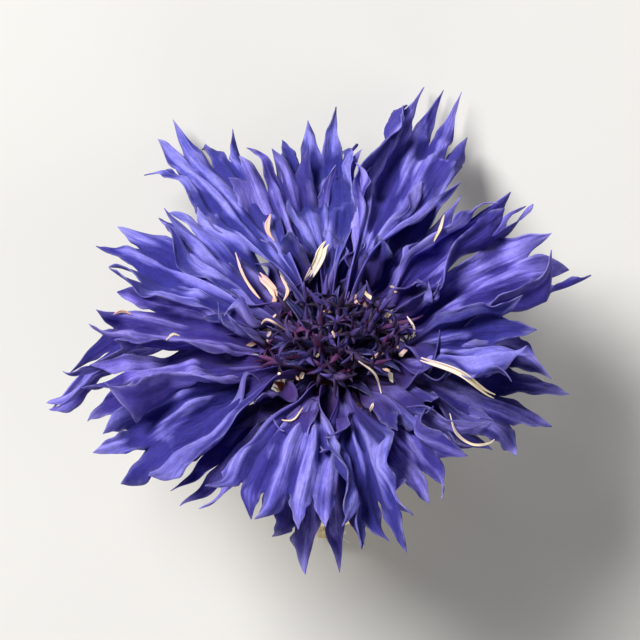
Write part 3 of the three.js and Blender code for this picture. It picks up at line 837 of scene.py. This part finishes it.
# Dry styles and chaff on and round the tuft. Points are mm from the tuft's middle as seen from above,
# then the greatest width, how warm the colour is, how high it bows, and how round it is.
STYLES = [
    ([(6.0, -1.3), (8.5, -2.2), (10.5, -3.6), (12.5, -4.3)], 0.68, 0.02, 0.15, 0.3),
    ([(7.9, -5.0), (8.3, -6.3), (9.4, -7.1), (10.7, -7.0), (11.4, -6.2)], 0.22, 0.0, 0.3, 0.8),
    ([(-1.8, 3.9), (-1.0, 5.3), (-0.6, 6.4), (0.4, 7.6)], 0.85, 0.1, 0.1, 0.3),
    ([(-6.6, 5.9), (-6.0, 4.3), (-5.1, 3.0), (-4.1, 2.1)], 0.4, 0.28, 0.15, 0.5),
    ([(-4.2, 8.6), (-4.4, 7.5), (-3.9, 6.5)], 0.5, 0.5, 0.05, 0.4),
    ([(-5.0, 4.4), (-4.0, 3.4), (-3.6, 2.4)], 0.55, 0.55, 0.1, 0.4),
    ([(-3.4, 4.3), (-2.9, 3.2), (-3.3, 2.2)], 0.35, 0.4, 0.1, 0.5),
    ([(5.1, 1.5), (5.6, 0.6), (5.3, -0.5)], 0.16, 0.2, 0.3, 0.8),
    ([(7.8, 8.5), (7.5, 7.5), (7.0, 6.6)], 0.36, 0.25, 0.1, 0.5),
    ([(-1.9, -4.6), (-2.6, -5.4), (-3.8, -5.3)], 0.14, 0.1, 0.3, 0.8),
    ([(-14.7, 1.6), (-14.1, 1.8), (-13.2, 1.4)], 0.3, 0.5, 0.0, 0.4),
    ([(-11.1, -0.1), (-10.6, 0.3), (-10.0, 0.1)], 0.25, 0.05, 0.0, 0.4),
    ([(1.8, -1.5), (2.9, -2.4), (3.4, -3.9)], 0.2, 0.15, 0.25, 0.6),
    ([(-3.1, 0.6), (-4.3, 1.3), (-4.9, 0.8)], 0.2, 0.3, 0.25, 0.6),
]
# Yellow and cream specks of pollen and torn tips, mm from the tuft's middle
SPECKS = [
    (-0.5, 0.0), (0.1, 0.3), (0.6, 0.5), (4.2, 3.5), (4.4, 3.2), (2.7, -4.5), (-5.2, -0.3), (3.0, 0.9),
]
SPECK_COUNT = 34
SPECK_REACH = 6.0
FLAKE_CORNERS = 6
RAY_TOP = 80  # mm, above everything
STYLE_POINTS = 30
STEEPEST = 0.5  # slope at which a style bridges what is under it


def rest_line(ground, points, steps):
    """A smooth line through points seen from above, laid on what is under it."""
    points = np.array(points) + (BLOOM_X, BLOOM_Y)
    ends = np.concatenate([[2 * points[0] - points[1]], points, [2 * points[-1] - points[-2]]])
    t = np.linspace(0, len(points) - 1.0001, steps)
    k = t.astype(int)
    f = (t - k)[:, None]
    a, b, c, d = (ends[k + i] for i in range(4))
    flat = b + 0.5 * f * (c - a + f * (2 * a - 5 * b + 4 * c - d + f * (3 * (b - c) + d - a)))
    high = np.array([ground.height(x, y) for x, y in flat])
    apart = np.linalg.norm(flat[:, None] - flat[None], axis=-1)
    high = (high[None] - STEEPEST * apart).max(axis=1)
    padded = np.pad(high, 2, mode="edge")
    high = sum(padded[i : i + steps] for i in range(5)) / 5
    return np.column_stack([flat, high])


def style_curls(skin, ground):
    draw = random_from(SEED + 60)
    for points, width, warmth, bow, rounded in STYLES:
        middle = rest_line(ground, points, STYLE_POINTS)
        t = np.linspace(0, 1, STYLE_POINTS)
        middle[:, 2] += 0.1 + bow * np.sin(math.pi * t) ** 1.5
        along = unit(np.gradient(middle, axis=0))
        level = unit(np.cross(UP, along))
        raised = np.cross(along, level)
        strands = 2 if width > 0.4 else 1
        for k in range(strands):
            place = (k - (strands - 1) / 2) * 0.3 * width
            drift = place + 0.25 * width * (draw() - 0.5) + mix(-0.35, 0.35, draw()) * width * t**2
            climb = 0.1 * width + mix(0, 0.3, draw()) * width * t
            path = middle + level * drift[:, None] + raised * climb[:, None]
            roll = (mix(-0.8, 0.8, draw()) + mix(-1.2, 1.2, draw()) * t)[:, None]
            side, face = rolled(level, raised, roll)
            lumps = 1 + 0.14 * np.sin(mix(9, 18, draw()) * t + 6 * draw())
            long = mix(0.75, 1.0, draw())
            wide = width * mix(0.35, 0.6, draw()) * lumps
            wide = wide * smooth((1 - t / long) / 0.4) ** 0.7 * smooth((t + 0.06) / 0.35) + 0.02
            q = np.linspace(-1, 1, CURL_POINTS)[None, :]
            own = 10 * draw()
            lift = (np.abs(q) ** 2 - 0.4) * rounded * wide[:, None]
            rows = path[:, None] + side[:, None] * (q * wide[:, None] / 2)[..., None]
            rows = rows + face[:, None] * lift[..., None]
            petal = triples(q, 3 * t[:, None], own)
            shade = triples(warmth + 0.3 * (draw() - 0.5), 2 * draw() - 1, t)[:, None]
            keep = max(4, int(STYLE_POINTS * long))
            skin.quads(skin.add(rows[:keep], petal[:keep], shade[:keep]))


def speck_flakes(skin, ground):
    """Small torn flakes that lie on the tuft."""
    draw = random_from(SEED + 70)
    places = list(SPECKS)
    for _ in range(SPECK_COUNT):
        r, turn = SPECK_REACH * math.sqrt(draw()), CIRCLE * draw()
        places.append((r * math.cos(turn), 0.6 * r * math.sin(turn)))
    for x, y in places:
        x, y = x + BLOOM_X, y + BLOOM_Y
        under = ground.height(x, y)
        at = np.array([x, y, under + mix(0.08, 0.2, draw())])
        tilt = unit(np.array([draw() - 0.5, draw() - 0.5, 1.0]))
        side = unit(np.cross(tilt, [math.cos(6.3 * draw()), math.sin(6.3 * draw()), 0]))
        other = np.cross(tilt, side)
        size, long = mix(0.08, 0.2, draw()), mix(1.0, 3.2, draw())
        corners = []
        for k in range(FLAKE_CORNERS):
            turn = CIRCLE * k / FLAKE_CORNERS
            r = size * mix(0.5, 1.3, draw())
            flat = side * r * long * math.cos(turn) + other * r * math.sin(turn)
            corners.append(at + flat + tilt * 0.15 * draw())
        shade = (0.8 * draw() ** 1.5, 2 * draw() - 1, draw())
        petal = (0, 1, 10 * draw())
        if under > 0:
            skin.cap(skin.add(np.array(corners), petal, shade))


# Stem

STEM_RINGS = 44
STEM_SIDES = 72
RIBS = 9
RIB_DEPTH = 0.055
# The cut end's rings: share of the radius, how deep, and how pale
CUT_RINGS = [(0.86, -0.03, 0.5), (0.6, 0.1, 1.0), (0.3, 0.16, 1.0), (0.06, 0.1, 1.0)]
WOOL_COUNT = 260
WOOL_WIDTH = 0.035
WOOL_POINTS = 6


def stem_path():
    down = np.array([0, -LEAN_SIN, -LEAN_COS])
    foot = np.array([0, 0, FOOT_LIFT])
    top = foot + down * GAP
    bend = foot + down * (FOOT_LIFT - STEM_RADIUS) / LEAN_COS
    end = bend + np.array([0, -STEM_LYING, 0])
    t = shares(STEM_RINGS)
    return (1 - t) ** 2 * top + 2 * t * (1 - t) * bend + t**2 * end + SEAT


def bent_line(root, tip, bow, steps):
    t = shares(steps)
    return root + (tip - root) * t + bow * (t * (1 - t) * 4)


def stem_and_wool(skin, wool):
    draw = random_from(SEED + 80)
    path = stem_path()
    along = unit(np.gradient(path, axis=0))
    x = np.broadcast_to([1.0, 0, 0], path.shape)
    y = np.cross(along, x)
    turn = full_turn(STEM_SIDES)
    ribs = 1 - RIB_DEPTH * (0.5 - 0.5 * np.cos(RIBS * turn)) - 0.02 * np.cos(23 * turn + 1.3)
    r = STEM_RADIUS * ribs[None, :] * (1 - 0.06 * np.sin(np.linspace(0, 9, STEM_RINGS))[:, None] ** 2)
    ring = rings(x, y, turn)
    rows = path[:, None] + ring * r[..., None]
    index = skin.add(rows, triples(turn, shares(STEM_RINGS) * 6, 0), 0)
    skin.quads(index, wrap=True)
    skin.cap(index[0][::-1])
    end, way = path[-1], along[-1]
    last = index[-1]
    for share, deep, rim in CUT_RINGS:
        rough = np.array([0.05 * (draw() - 0.5) for _ in turn])
        inner = end + ring[-1] * (r[-1] * share)[:, None] - way * (deep + rough)[:, None]
        new = skin.add(inner[None], (0, 6, 0), (rim, 0, 0))[0]
        skin.quads(np.stack([last, new]), wrap=True)
        last = new
    skin.cap(last)
    for _ in range(WOOL_COUNT):
        i = int(draw() * (STEM_RINGS - 1))
        around = CIRCLE * draw()
        out = x[i] * math.cos(around) + y[i] * math.sin(around)
        root = path[i] + out * STEM_RADIUS * 0.93
        sweep = along[i] * mix(-1.0, 1.0, draw()) + np.cross(along[i], out) * mix(-1.0, 1.0, draw())
        long = mix(0.4, 1.1, draw())
        tip = root + sweep * long + out * mix(0.02, 0.22, draw())
        tip[2] = max(tip[2], FLOOR_CLEAR)
        line = bent_line(root, tip, out * 0.1, WOOL_POINTS)
        line[:, 2] = np.maximum(line[:, 2], FLOOR_CLEAR)
        strip(wool, line, np.full(WOOL_POINTS, WOOL_WIDTH), np.cross(sweep, out) * 0.7, 0, 0)


# Materials


class Shader:
    """A procedural material, built node by node."""

    def __init__(self, name, roughness, sheen=0.0, specular=0.4, more=None):
        self.material = bpy.data.materials.new(name)
        self.material.use_nodes = True
        self.tree = self.material.node_tree
        self.tree.nodes.clear()
        given = {"Roughness": roughness, "Sheen Weight": sheen, "Specular IOR Level": specular}
        self.surface = self.node("BsdfPrincipled", given | (more or {}))
        self.node("OutputMaterial", {"Surface": self.surface.outputs[0]})

    def node(self, kind, given, **settings):
        """A new node, its inputs set to what is given for them by name or number."""
        made = self.tree.nodes.new("ShaderNode" + kind)
        for name, setting in settings.items():
            setattr(made, name, setting)
        for key, value in given.items():
            self.put(made.inputs[key], value)
        return made

    def put(self, socket, value):
        """Joins an input to another node's output, or sets it to a value or a colour."""
        if isinstance(value, bpy.types.NodeSocket):
            self.tree.links.new(value, socket)
        else:
            socket.default_value = (*value, 1) if socket.type == "RGBA" else value

    def values(self, name):
        """The three parts of a value that the piece's points carry."""
        held = self.node("Attribute", {}, attribute_name=name).outputs["Vector"]
        return tuple(self.node("SeparateXYZ", {0: held}).outputs)

    def math(self, kind, *given):
        return self.node("Math", dict(enumerate(given)), operation=kind).outputs[0]

    def times(self, a, b):
        return self.math("MULTIPLY", a, b)

    def vector(self, x, y, z):
        return self.node("CombineXYZ", {0: x, 1: y, 2: z}).outputs[0]

    def noise(self, where, scale, detail=4.0, rough=0.55):
        given = {"Vector": where, "Scale": scale, "Detail": detail, "Roughness": rough}
        return self.node("TexNoise", given).outputs[0]

    def fibres(self, x, y, own, wide, long, scale, detail=4.0, rough=0.55):
        """Noise drawn out along the piece."""
        where = self.vector(self.times(x, wide), self.times(y, long), own)
        return self.noise(where, scale, detail, rough)

    def place(self):
        return self.node("TexCoord", {}).outputs["Object"]

    def ramp(self, given, stops):
        node = self.node("ValToRGB", {0: given})
        bar = node.color_ramp.elements
        while len(bar) < len(stops):
            bar.new(0.5)
        for element, (at, shade) in zip(bar, stops):
            element.position = at
            element.color = (*shade, 1) if isinstance(shade, tuple) else (shade, shade, shade, 1)
        return node.outputs[0]

    def blend(self, share, a, b):
        return self.node("Mix", {0: share, 6: a, 7: b}, data_type="RGBA").outputs[2]

    def bump(self, height, strength, distance):
        given = {"Strength": strength, "Distance": distance * MM, "Height": height}
        self.put(self.surface.inputs["Normal"], self.node("Bump", given).outputs[0])

    def colour(self, given):
        self.put(self.surface.inputs["Base Color"], given)
        return self.material


def petal_material():
    inside = {
        "Subsurface Weight": 0.25,
        "Subsurface Radius": (0.35, 0.3, 1.0),
        "Subsurface Scale": 0.35 * MM,
    }
    m = Shader("dried_petal", 0.78, sheen=0.04, specular=0.14, more=inside)
    x, y, own = m.values("petal")
    rim, tone, crease = m.values("tint")
    fibre = m.fibres(x, y, own, 1.5, 0.11, 2.2, 6, 0.7)
    vein = m.fibres(x, y, own, 1.6, 0.05, 1.6, 2, 0.5)
    patch = m.fibres(x, y, own, 0.35, 0.22, 1.4, 4, 0.6)
    blue = m.ramp(
        fibre,
        [(0.33, (0.07, 0.059, 0.37)), (0.48, (0.18, 0.159, 0.565)), (0.68, (0.225, 0.205, 0.595))],
    )
    grain = m.fibres(x, y, own, 2.2, 0.8, 2.0, 8, 0.75)
    deep = m.blend(m.ramp(vein, [(0.44, 0.0), (0.62, 0.75)]), blue, (0.04, 0.034, 0.27))
    mottled = m.blend(m.ramp(patch, [(0.45, 0.0), (0.7, 0.5)]), deep, (0.2, 0.188, 0.56))
    # painted shade: the valleys of the creases are darkened
    painted_crease_shade = m.ramp(crease, [(0.0, 0.95), (0.6, 0.0)])
    crease_shaded = m.blend(painted_crease_shade, mottled, (0.022, 0.018, 0.17))
    # painted highlight: the crests of the creases are lightened
    raised = m.blend(m.ramp(crease, [(0.7, 0.0), (1.0, 0.15)]), crease_shaded, (0.31, 0.29, 0.65))
    mottle = m.math("MULTIPLY_ADD", grain, 2.0, 0.03)
    # brightness from the floret's paleness, partly painted light and shade, and from the grain mottling
    paleness_and_painted_light = m.math("MULTIPLY_ADD", tone, 0.3, mottle)
    hue = m.math("MULTIPLY_ADD", m.math("FRACT", own), 0.011, 0.495)
    toned_with_painted_light = m.node("HueSaturation", {"Color": raised, "Value": paleness_and_painted_light, "Hue": hue}).outputs[0]
    faded = m.noise(m.vector(x, m.times(y, 0.5), own), 1.8, 3)
    worn = m.ramp(faded, [(0.35, 0.0), (0.7, 0.55)])
    edged = m.blend(m.times(rim, worn), toned_with_painted_light, (0.33, 0.31, 0.64))
    root = m.ramp(m.math("DIVIDE", y, 20.0), [(0.19, 1.0), (0.43, 0.0)])
    violet = m.blend(m.times(root, 0.85), edged, (0.05, 0.02, 0.13))
    m.bump(m.math("MULTIPLY_ADD", grain, 0.6, fibre), 0.8, 0.2)
    return m.colour(violet)


def disc_material():
    m = Shader("dried_disc", 0.6, sheen=0.02, specular=0.2)
    rim, tone, _ = m.values("tint")
    speck = m.noise(m.place(), 900, 4)
    body = m.ramp(
        speck,
        [(0.35, (0.008, 0.003, 0.02)), (0.6, (0.025, 0.01, 0.055)), (0.78, (0.085, 0.045, 0.16))],
    )
    blue = m.blend(m.ramp(tone, [(0.3, 0.0), (0.9, 0.75)]), body, (0.085, 0.06, 0.3))
    reddened = m.ramp(m.times(tone, -1.0), [(0.5, 0.0), (1.0, 0.7)])
    wine = m.blend(reddened, blue, (0.12, 0.022, 0.1))
    pale_rim = m.times(rim, m.ramp(speck, [(0.5, 0.0), (0.75, 0.4)]))
    lit = m.blend(pale_rim, wine, (0.2, 0.13, 0.36))
    m.bump(speck, 0.3, 0.08)
    return m.colour(lit)


def style_material():
    m = Shader("dried_style", 0.55, specular=0.3)
    x, y, own = m.values("petal")
    warmth, tone, along = m.values("tint")
    grain = m.fibres(x, y, own, 1.6, 0.3, 3.0, 5)
    stops = [(0.3, (0.5, 0.38, 0.27)), (0.5, (0.76, 0.66, 0.5)), (0.72, (0.92, 0.87, 0.76))]
    cream = m.ramp(grain, stops)
    yellow = m.blend(m.ramp(tone, [(0.3, 0.0), (0.8, 0.5)]), cream, (0.7, 0.56, 0.24))
    warm = m.blend(m.ramp(warmth, [(0.1, 0.0), (0.85, 0.8)]), yellow, (0.72, 0.32, 0.26))
    lilac = m.blend(m.ramp(along, [(0.0, 0.45), (0.5, 0.0)]), warm, (0.4, 0.26, 0.46))
    m.bump(grain, 0.35, 0.06)
    return m.colour(lilac)


def bract_material():
    m = Shader("dried_bract", 0.68, sheen=0.02, specular=0.18)
    x, y, own = m.values("petal")
    rim, tone, _ = m.values("tint")
    fibre = m.fibres(x, y, own, 5.0, 0.7, 2.4, 6, 0.6)
    stain = m.noise(m.place(), 260, 4)
    stops = [(0.3, (0.76, 0.54, 0.22)), (0.5, (0.91, 0.75, 0.38)), (0.72, (0.97, 0.87, 0.56))]
    straw = m.ramp(fibre, stops)
    green = m.blend(m.ramp(stain, [(0.5, 0.0), (0.75, 0.35)]), straw, (0.7, 0.62, 0.22))
    brown = m.blend(m.ramp(stain, [(0.3, 0.6), (0.41, 0.0)]), green, (0.5, 0.2, 0.06))
    shaded = m.blend(m.ramp(tone, [(0.0, 0.0), (1.0, 0.35)]), brown, (0.96, 0.86, 0.56))
    edged = m.blend(m.times(rim, 0.6), shaded, (0.95, 0.86, 0.62))
    m.bump(fibre, 0.4, 0.1)
    return m.colour(edged)


def crown_material():
    m = Shader("dried_crown", 0.65, sheen=0.03, specular=0.2)
    x, y, own = m.values("petal")
    rim, _, hue = m.values("tint")
    fibre = m.fibres(x, y, own, 4.0, 0.6, 2.4, 6, 0.6)
    low = m.ramp(fibre, [(0.3, (0.55, 0.32, 0.14)), (0.7, (0.84, 0.62, 0.34))])
    stops = [(0.3, (0.36, 0.06, 0.06)), (0.5, (0.62, 0.2, 0.11)), (0.72, (0.8, 0.4, 0.24))]
    high = m.ramp(fibre, stops)
    body = m.blend(m.ramp(y, [(0.15, 0.0), (0.6, 1.0)]), low, high)
    magenta = m.blend(m.ramp(hue, [(0.2, 0.0), (0.9, 0.55)]), body, (0.34, 0.05, 0.16))
    edged = m.blend(m.times(rim, 0.45), magenta, (0.84, 0.6, 0.42))
    m.bump(fibre, 0.4, 0.1)
    return m.colour(edged)


def stem_material():
    m = Shader("dried_stem", 0.75, sheen=0.2, specular=0.2)
    x, y, _ = m.values("petal")
    rim, _, _ = m.values("tint")
    around = m.times(m.math("SINE", x), 2.2)
    fibre = m.noise(m.vector(around, m.times(y, 0.35), m.math("COSINE", x)), 3.2, 6, 0.65)
    stops = [(0.3, (0.3, 0.21, 0.1)), (0.5, (0.56, 0.43, 0.22)), (0.72, (0.78, 0.66, 0.42))]
    straw = m.ramp(fibre, stops)
    cut = m.blend(rim, straw, (0.82, 0.72, 0.52))
    m.bump(fibre, 0.5, 0.12)
    return m.colour(cut)


def wool_material():
    m = Shader("dried_wool", 0.85, sheen=0.3, specular=0.1)
    grain = m.noise(m.place(), 400, 2)
    return m.colour(m.ramp(grain, [(0.3, (0.72, 0.66, 0.54)), (0.7, (0.88, 0.84, 0.76))]))


# The pieces

# Points across a lobe, rows along the body, rows along a lobe, and how strong the crumpling is
OUTER_SHEET = (9, 44, 13, 1.4)
INNER_SHEET = (8, 32, 11, 2.2)

outer, inner = ray_florets()
draw = random_from(SEED + 100)
petals = petal_material()
blooms = {"ray_florets_low": Skin(), "ray_florets_high": Skin(), "ray_florets_inner": Skin()}
low_ring, high_ring, inner_ring = blooms.values()
for i, floret in enumerate(outer):
    floret_sheet(high_ring if i % 2 else low_ring, floret, draw, *OUTER_SHEET)
for floret in inner:
    floret_sheet(inner_ring, floret, draw, *INNER_SHEET)
shreds(inner_ring, draw)
for name, skin in blooms.items():
    skin.points = [drawn_in(from_head(p)) for p in skin.points]
    skin.build(name, petals, "ray_florets", PETAL_THICKNESS, "ray_florets")

dark = disc_material()
tubes, lobes = Skin(), Skin()
disc_tuft(tubes, lobes)
tubes.build("disc_florets_fine", dark, "disc_florets", 0, "disc_florets")
lobes.build("disc_floret_lobes", dark, "disc_florets", DISC_LOBE_THICKNESS)

cream = style_material()
ground = Ground([*blooms.values(), tubes])
curls, flakes = Skin(), Skin()
style_curls(curls, ground)
curls.build("dry_styles", cream, "involucre", STYLE_THICKNESS)
speck_flakes(flakes, ground)
flakes.build("pollen_flakes", cream, "involucre", FLAKE_THICKNESS, rounded=False)

bract = bract_material()
barrel, scales = Skin(), Skin()
barrel_and_bracts(barrel, scales)
barrel.build("barrel_wall", bract, "involucre", 0, "involucre")
scales.build("involucre_scales", bract, "involucre", SCALE_THICKNESS, "involucre")
ring = Skin()
crown(ring)
ring.build("inner_bract_crown", crown_material(), "inner_bracts", CROWN_THICKNESS, "inner_bracts")

stem, wool = Skin(), Skin()
stem_and_wool(stem, wool)
stem.build("stem_stub", stem_material(), "stem", 0, "stem")
wool.build("stem_wool", wool_material(), "stem")

# Floor, light and camera

FLOOR_HALF = 3
AIM_HEIGHT = 0.012
EYE_DISTANCE = 0.245
WORLD_STRENGTH = 0.15

floor_mesh = bpy.data.meshes.new("floor")
corners = [(x * FLOOR_HALF, y * FLOOR_HALF, 0) for x, y in ((-1, -1), (1, -1), (1, 1), (-1, 1))]
floor_mesh.from_pydata(corners, [], [range(4)])
floor = bpy.data.objects.new("floor", floor_mesh)
put_in_scene(floor)
pale = Shader("pale_floor", 0.7, specular=0.2)
floor_mesh.materials.append(pale.colour((0.57, 0.57, 0.56)))


def lamp(name, place, size, power, shade):
    light = bpy.data.lights.new(name, "AREA")
    light.shape = "DISK"
    light.size = size
    light.energy = power
    light.color = shade
    made = bpy.data.objects.new(name, light)
    made.location = place
    way = np.array([0, 0, AIM_HEIGHT]) - np.array(place)
    made.rotation_euler = Vector(way).to_track_quat("-Z", "Y").to_euler()
    put_in_scene(made)


lamp("key", (-0.32, 0.3, 0.44), 0.3, 6.9, (1.0, 0.98, 0.95))
lamp("fill", (0.45, -0.2, 0.35), 0.5, 0.9, (1.0, 0.98, 0.95))
lamp("low", (0.05, -0.5, 0.2), 0.4, 0.9, (1.0, 0.96, 0.9))

world = bpy.data.worlds.new("studio")
world.use_nodes = True
background = world.node_tree.nodes["Background"]
background.inputs[0].default_value = (0.97, 0.97, 1.0, 1)
background.inputs[1].default_value = WORLD_STRENGTH
bpy.context.scene.world = world
bpy.context.scene.view_settings.view_transform = "Standard"

camera = bpy.data.cameras.new("camera")
camera.lens = 200
camera.sensor_width = 36
camera.clip_start = 0.01
eye = bpy.data.objects.new("camera", camera)
eye.location = (0.0, 0.0, AIM_HEIGHT + EYE_DISTANCE)
put_in_scene(eye)
bpy.context.scene.camera = eye
